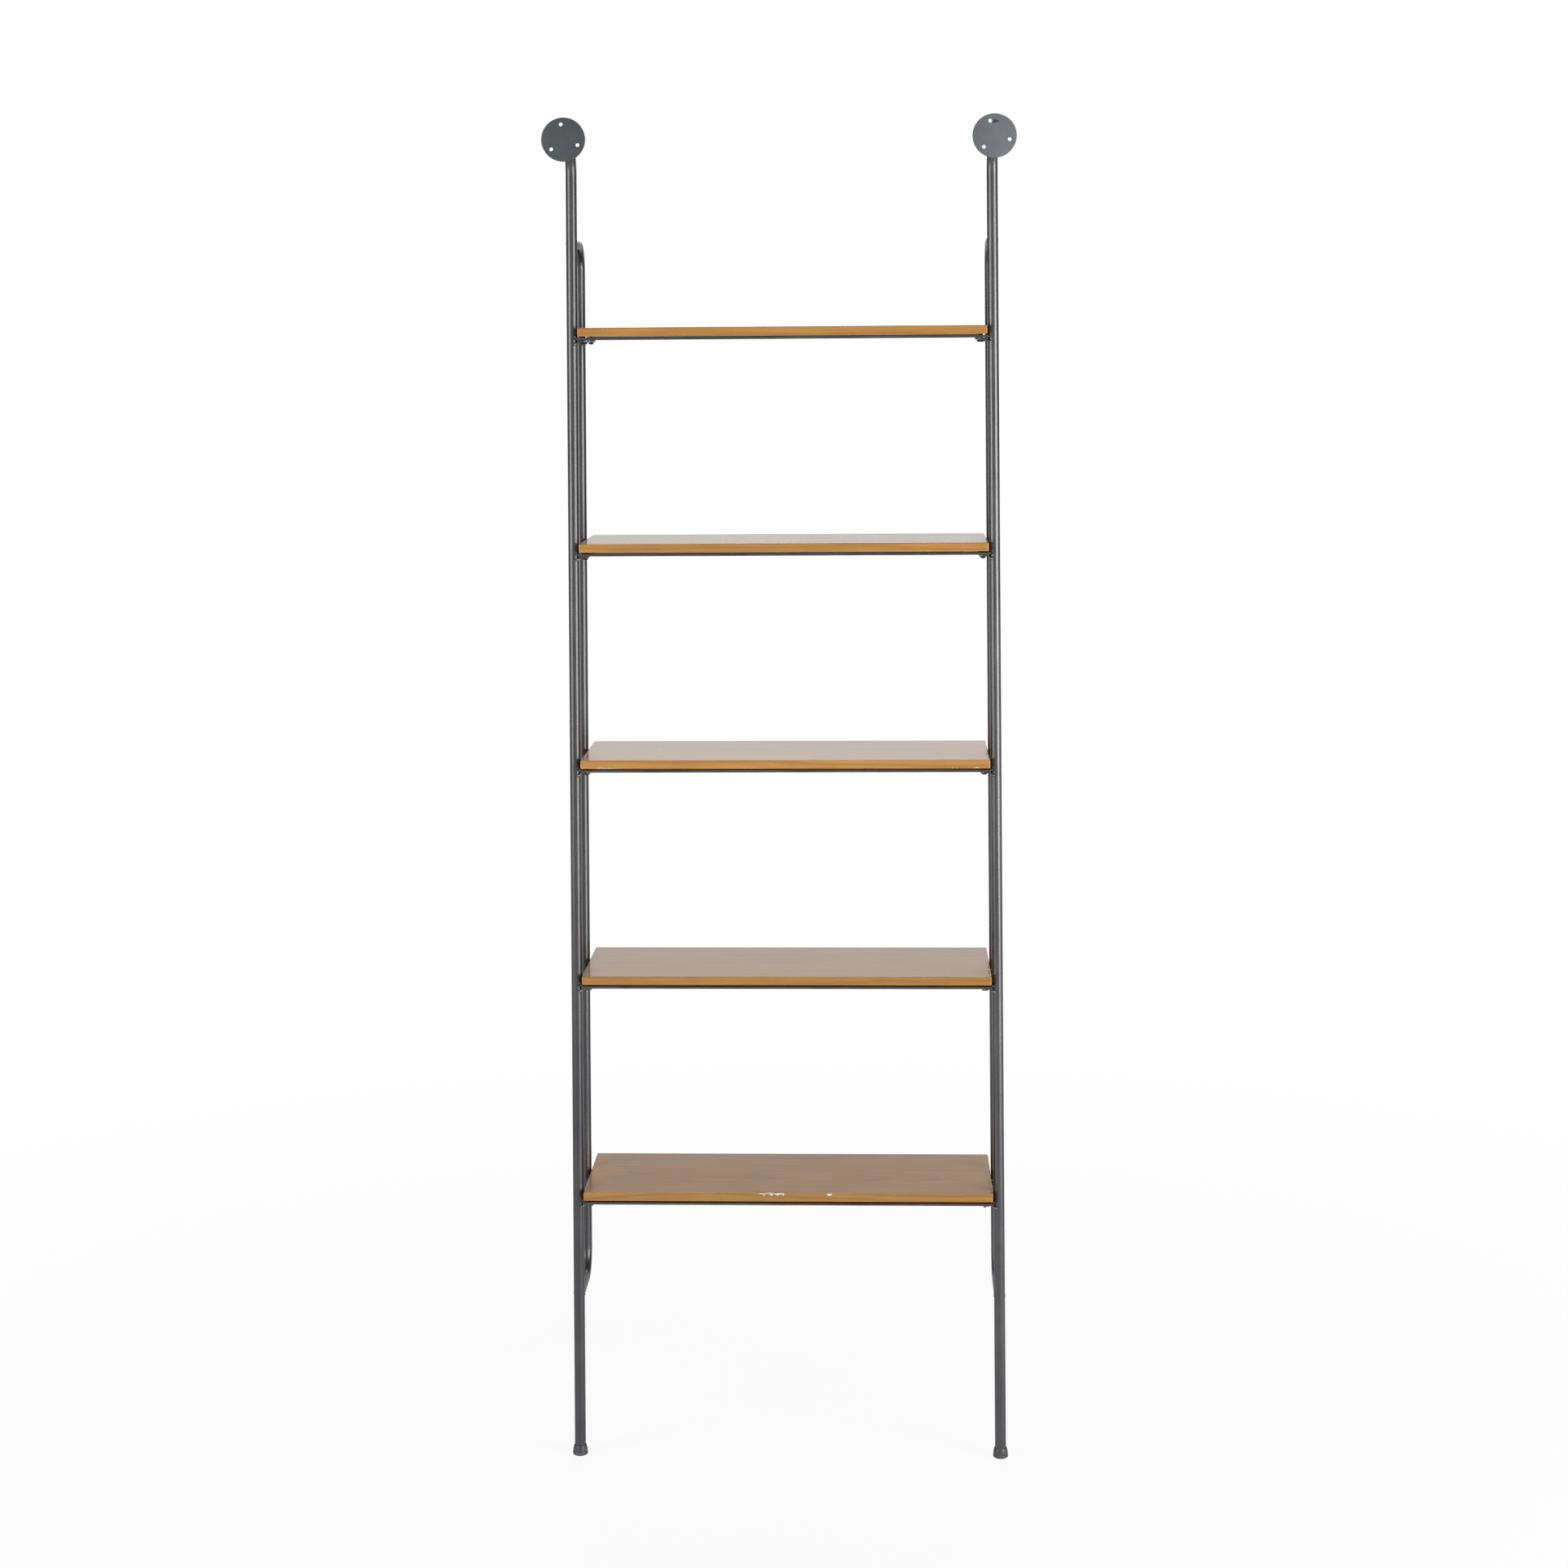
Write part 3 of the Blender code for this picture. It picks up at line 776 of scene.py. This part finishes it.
# Chips: board number to (middle along X, half length, which rear arris: 1 upper, -1 lower, depth).
CHIPS = {
    2: ((-0.270, 0.0080, -1, 0.5),),
    3: ((-0.279, 0.0035, -1, 1.0), (-0.255, 0.0150, -1, 0.5), (0.256, 0.0210, -1, 0.9)),
    4: ((0.150, 0.0030, 1, 0.4),),
    5: ((0.024, 0.0220, 1, 0.7), (-0.062, 0.0055, 1, 0.9)),
}


def weather(mesh, low, high, number):
    """Wears a board's arrises unevenly and chips them, and stores where, for the wood's colour, which paints
    the arrises pale: part wear, part painted highlight.
    """
    # The arris mask: worn edges, and also where the wood paints its edge highlight.
    wear_and_highlight = mesh.attributes.new("wear_and_highlight", "FLOAT", "POINT")
    chipped = mesh.attributes.new("chip", "FLOAT", "POINT")
    tone = mesh.attributes.new("tone", "FLOAT", "POINT")
    grain = mesh.attributes.new("grain", "FLOAT_VECTOR", "POINT")
    middle = (Vector(low) + Vector(high)) / 2
    for index, vertex in enumerate(mesh.vertices):
        place = vertex.co.copy()
        gaps = sorted(min(place[a] - low[a], high[a] - place[a]) for a in range(3))
        arris = max(0.0, 1.0 - gaps[1] / BOARD_EDGE)
        ragged = noise.noise(place * 90.0 + Vector((number * 7.0, 0.0, 0.0)))
        rub = arris * (0.55 + 0.45 * ragged)
        wear_and_highlight.data[index].value = max(0.0, min(1.0, rub * 1.3))
        tone.data[index].value = BOARD_TONES[number]
        sideways = 0.03 * math.sin(2.1 * number)
        grain.data[index].vector = (place.x + 3.0 * number, place.y + sideways, place.z - high[2])
        inward = (middle - place).normalized()
        inward.x *= 0.1
        vertex.co += Vector((0.0, inward.y, inward.z)) * arris * max(ragged, 0.0) * WEAR_DEPTH
        for along, half, edge, depth in CHIPS.get(number, ()):
            near = 1.0 - abs(place.x - along) / half
            corner_z = high[2] if edge > 0 else low[2]
            far = math.hypot(place.y - high[1], place.z - corner_z)
            near_edge = 1.0 - far / CHIP_REACH[edge]
            amount = max(0.0, min(1.0, near * 3.0)) * max(0.0, min(1.0, near_edge * 1.6))
            amount *= depth * (0.7 + 0.6 * noise.noise(place * 700.0))
            if amount > 0.0:
                chipped.data[index].value = max(chipped.data[index].value, min(1.0, amount * 1.4))
                vertex.co += Vector((0.0, -CHIP_DEPTH, -CHIP_DEPTH * edge)) * amount


def add_board(number):
    node = f"board_{number}"
    low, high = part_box(node)
    mesh = mesh_from(node, lambda bm: rounded_box(bm, low, high, BOARD_EDGE, BOARD_CELLS), 60.0)
    weather(mesh, low, high, number)
    piece(f"wooden_board_{number}", mesh, "wood", "wood", node)


# ---------------------------------------------------------------- stage

# Name: azimuth in degrees, distance, height, (width, height) and power.
SOFTBOXES = {
    "plus_x_softbox": (-54.0, 3.2, 1.4, (1.4, 1.6), 36.0),
    "minus_x_softbox": (54.0, 3.2, 1.1, (1.4, 2.2), 68.0),
    "room_softbox": (180.0, 3.2, 3.0, (2.6, 1.2), 37.0),
}
SOFTBOX_AIM = (0.0, 0.0, 1.1)
FLOOR_RADIUS = 14.0
FLOOR_GLOW = 0.90
# Brightness of the backdrop on the room side, by height: (sine of the elevation, strength).
BACKDROP = ((0.0, 0.68), (0.07, 0.74), (0.15, 0.95), (0.22, 0.98), (0.29, 0.37), (0.40, 0.32))


def add_floor():
    """A pale floor that fades into the white surroundings, and looks grey to the steel's reflections."""
    bm = bmesh.new()
    bmesh.ops.create_circle(bm, cap_ends=True, segments=96, radius=FLOOR_RADIUS)
    mesh = bpy.data.meshes.new("floor")
    bm.to_mesh(mesh)
    bm.free()
    material = bpy.data.materials.new("Pale floor")
    material.use_nodes = True
    nodes = Nodes(material.node_tree)
    shader = material.node_tree.nodes["Principled BSDF"]
    output = material.node_tree.nodes["Material Output"]
    shader.inputs["Base Color"].default_value = (0.86, 0.86, 0.86, 1.0)
    shader.inputs["Roughness"].default_value = 0.8
    place = nodes.add("ShaderNodeTexCoord").outputs["Object"]
    reach = nodes.vector("LENGTH", place).outputs["Value"]
    fade = nodes.ramp(nodes.math("DIVIDE", reach, 3.0), (0.2, 0.0), (0.8, 1.0))
    white = nodes.add("ShaderNodeEmission", {"Color": (1.0, 1.0, 1.0, 1.0), "Strength": 1.0})
    share = nodes.math("ADD", nodes.math("MULTIPLY", fade, 1.0 - FLOOR_GLOW), FLOOR_GLOW)
    seen = nodes.add("ShaderNodeMixShader", {0: share, 1: shader.outputs[0], 2: white.outputs[0]})
    dim = nodes.add("ShaderNodeEmission", {"Color": (0.96, 0.94, 1.0, 1.0), "Strength": 0.66})
    ray = nodes.add("ShaderNodeLightPath").outputs["Is Camera Ray"]
    mixed = nodes.add("ShaderNodeMixShader", {0: ray, 1: dim.outputs[0], 2: seen.outputs[0]})
    nodes.feed(output.inputs["Surface"], mixed.outputs[0])
    mesh.materials.append(material)
    floor = bpy.data.objects.new("pale_floor", mesh)
    bpy.context.scene.collection.objects.link(floor)


def add_world():
    """White to the camera. To everything else, a dim studio with a bright backdrop on the room side."""
    world = bpy.data.worlds.new("Studio")
    world.use_nodes = True
    bpy.context.scene.world = world
    nodes = Nodes(world.node_tree)
    for node in list(world.node_tree.nodes):
        world.node_tree.nodes.remove(node)
    output = nodes.add("ShaderNodeOutputWorld")
    direction = nodes.add("ShaderNodeSeparateXYZ", {0: nodes.add("ShaderNodeTexCoord").outputs["Generated"]})
    facing = nodes.math("ADD", nodes.math("MULTIPLY", direction.outputs[1], 0.5), 0.5)
    room = nodes.ramp(facing, (0.09, 1.0), (0.18, 0.0))
    behind = nodes.ramp(facing, (0.45, 0.12), (0.70, 0.54))
    backdrop = nodes.ramp(direction.outputs[2], *BACKDROP)
    above = nodes.ramp(direction.outputs[2], (0.35, 0.0), (0.9, 0.55))
    glow = nodes.math("MAXIMUM", nodes.math("MULTIPLY", room, backdrop), nodes.math("MAXIMUM", above, behind))
    studio = nodes.add("ShaderNodeBackground", {"Strength": glow})
    white = nodes.add("ShaderNodeBackground", {"Color": (1.0, 1.0, 1.0, 1.0), "Strength": 1.0})
    ray = nodes.add("ShaderNodeLightPath").outputs["Is Camera Ray"]
    mixed = nodes.add("ShaderNodeMixShader", {0: ray, 1: studio.outputs[0], 2: white.outputs[0]})
    nodes.feed(output.inputs["Surface"], mixed.outputs[0])


def add_softbox(name, azimuth, distance, height, size, power):
    """A tall soft light. Azimuth is in degrees from +Y towards -X, and it faces the shelf's middle."""
    light = bpy.data.lights.new(name, "AREA")
    light.shape = "RECTANGLE"
    light.size, light.size_y = size
    light.energy = power
    obj = bpy.data.objects.new(name, light)
    bpy.context.scene.collection.objects.link(obj)
    turn = math.radians(azimuth)
    place = Vector((-distance * math.sin(turn), distance * math.cos(turn), height))
    obj.location = place
    obj.rotation_euler = (Vector(SOFTBOX_AIM) - place).to_track_quat("-Z", "Y").to_euler()


def add_camera():
    data = bpy.data.cameras.new("Camera")
    data.lens = CAMERA_LENS
    data.sensor_width = 36.0
    data.shift_y = CAMERA_SHIFT_Y
    camera = bpy.data.objects.new("Camera", data)
    bpy.context.scene.collection.objects.link(camera)
    facing = Matrix.Rotation(math.pi, 4, "Z") @ Matrix.Rotation(math.pi / 2, 4, "X")
    turn = Matrix.Rotation(-CAMERA_YAW, 4, "Z") @ facing
    turn = turn @ Matrix.Rotation(-CAMERA_PITCH, 4, "X") @ Matrix.Rotation(CAMERA_ROLL, 4, "Z")
    camera.matrix_world = Matrix.Translation(CAMERA_PLACE) @ turn
    bpy.context.scene.camera = camera


def add_stage():
    add_camera()
    add_floor()
    add_world()
    for name, settings in SOFTBOXES.items():
        add_softbox(name, *settings)
    bpy.context.scene.view_settings.view_transform = "Standard"


# ---------------------------------------------------------------- the shelf


def add_shelf_parts():
    for side in SIDES:
        at = SideFrame(side)
        add_tubes(at)
        add_frame_welds(at)
        add_flange(at)
        add_foot_cap(at)
        for number in BOARDS:
            add_bar(f"{side}_side_bar_{number}", (4, 12, 2))
            add_shelf_welds(at, number)
    for number in BOARDS:
        add_board(number)
        for end in ("rear", "front"):
            add_bar(f"{end}_crossbar_{number}", (40, 5, 2))
    add_screws()


add_stage()
add_shelf_parts()
